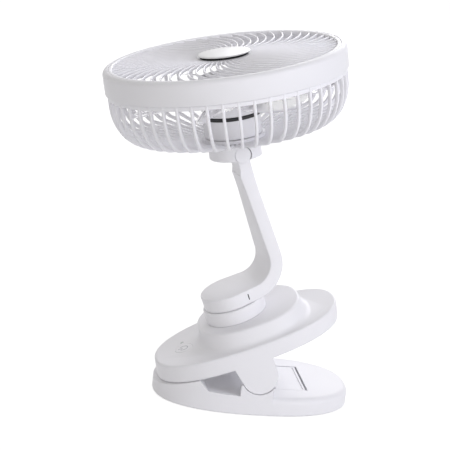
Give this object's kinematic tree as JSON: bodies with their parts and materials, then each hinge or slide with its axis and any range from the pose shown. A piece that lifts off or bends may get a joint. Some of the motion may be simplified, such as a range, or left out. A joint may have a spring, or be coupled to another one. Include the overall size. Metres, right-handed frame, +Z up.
{
  "type": "clip fan",
  "caption": "Rechargeable clip-on table fan: spring clip with a charging base, bent arm on a swivel, and a tilting round head with a ribbed cage and clear blades.",
  "frame": {"origin": "middle of the clip's underside, on the flat face of the rubber foot", "axes": "+X along the clip from its mouth to its handles, +Y across the clip away from the pictured side, +Z up"},
  "size_m": [0.2004, 0.173, 0.269],
  "materials": {
    "white_plastic": "smooth satin-gloss moulding",
    "cage_plastic": "glossy moulded ribs",
    "silver_disc": "pale silver satin paint on plastic",
    "clear_plastic": "clear polished plastic",
    "grey_rubber": "soft matt rubber",
    "black_plastic": "matt moulding",
    "steel": "plain zinc-plated steel",
    "circuit_board": "green solder mask",
    "battery_wrap": "shrink sleeve on a steel can",
    "copper_winding": "enamelled copper wire"
  },
  "bodies": {
    "lower_jaw": {"lower_shell": "white_plastic", "lower_base": "white_plastic", "rubber_foot": "grey_rubber", "lower_grip_pad": "grey_rubber", "hook_pin": "steel", "hinge_pin": "steel", "torsion_spring": "steel", "base_screw_1": "steel", "base_screw_2": "steel", "base_screw_3": "steel", "base_screw_4": "steel"},
    "hanging_hook": {"hanging_hook": "white_plastic"},
    "upper_jaw": {"upper_shell": "white_plastic", "upper_base": "white_plastic", "upper_grip_pad": "grey_rubber", "indicator_light": "clear_plastic", "circuit_board": "circuit_board", "charging_port": "black_plastic", "battery_cell": "battery_wrap", "battery_cradle": "black_plastic", "swivel_collar": "white_plastic", "upper_screw_1": "steel", "upper_screw_2": "steel", "upper_screw_3": "steel", "upper_screw_4": "steel"},
    "power_button": {"power_button": "white_plastic"},
    "arm": {"arm_shell": "white_plastic", "arm_lead": "black_plastic", "foot_plate": "white_plastic", "swivel_shaft": "steel", "swivel_washer": "steel", "swivel_nut": "steel", "tilt_axle": "steel", "tilt_cap_near": "white_plastic", "tilt_cap_far": "white_plastic"},
    "head": {"rear_hub": "white_plastic", "rear_cage": "cage_plastic", "front_band": "white_plastic", "front_grille": "cage_plastic", "centre_disc": "silver_disc", "motor_housing": "white_plastic", "motor_ring": "black_plastic", "motor_coil": "copper_winding", "motor_screw_1": "steel", "motor_screw_2": "steel", "motor_screw_3": "steel"},
    "rotor": {"blade_rotor": "clear_plastic", "motor_shaft": "steel"}
  },
  "joints": [
    {"name": "jaw_hinge", "type": "hinge", "parent": "lower_jaw", "child": "upper_jaw", "pos_m": [-0.0015, 0, 0.0295], "axis": [0, 1, 0], "range_deg": [0, 34], "stiffness_Nm_per_rad": 0.9, "springref_deg": -40.11},
    {"name": "hook_fold", "type": "hinge", "parent": "lower_jaw", "child": "hanging_hook", "pos_m": [0.0156, 0, 0.01215], "axis": [0, -1, 0], "range_deg": [0, 90]},
    {"name": "power_button_press", "type": "slide", "parent": "upper_jaw", "child": "power_button", "axis": [0.4035, 0, -0.915], "range_m": [0, 0.0008], "stiffness_N_per_m": 800, "springref_m": -0.0005},
    {"name": "arm_swivel", "type": "hinge", "parent": "upper_jaw", "child": "arm", "pos_m": [-0.0015, 0, 0.0295], "axis": [-0.4035, 0, 0.915], "continuous": true},
    {"name": "head_tilt", "type": "hinge", "parent": "arm", "child": "head", "pos_m": [-0.02941, 0.00586, 0.18244], "axis": [-0.1463, 0.9871, -0.0645], "range_deg": [-11, 79]},
    {"name": "blade_spin", "type": "hinge", "parent": "head", "child": "rotor", "pos_m": [-0.02941, 0.00586, 0.18244], "axis": [-0.2238, 0.0305, 0.9742], "continuous": true}
  ]
}
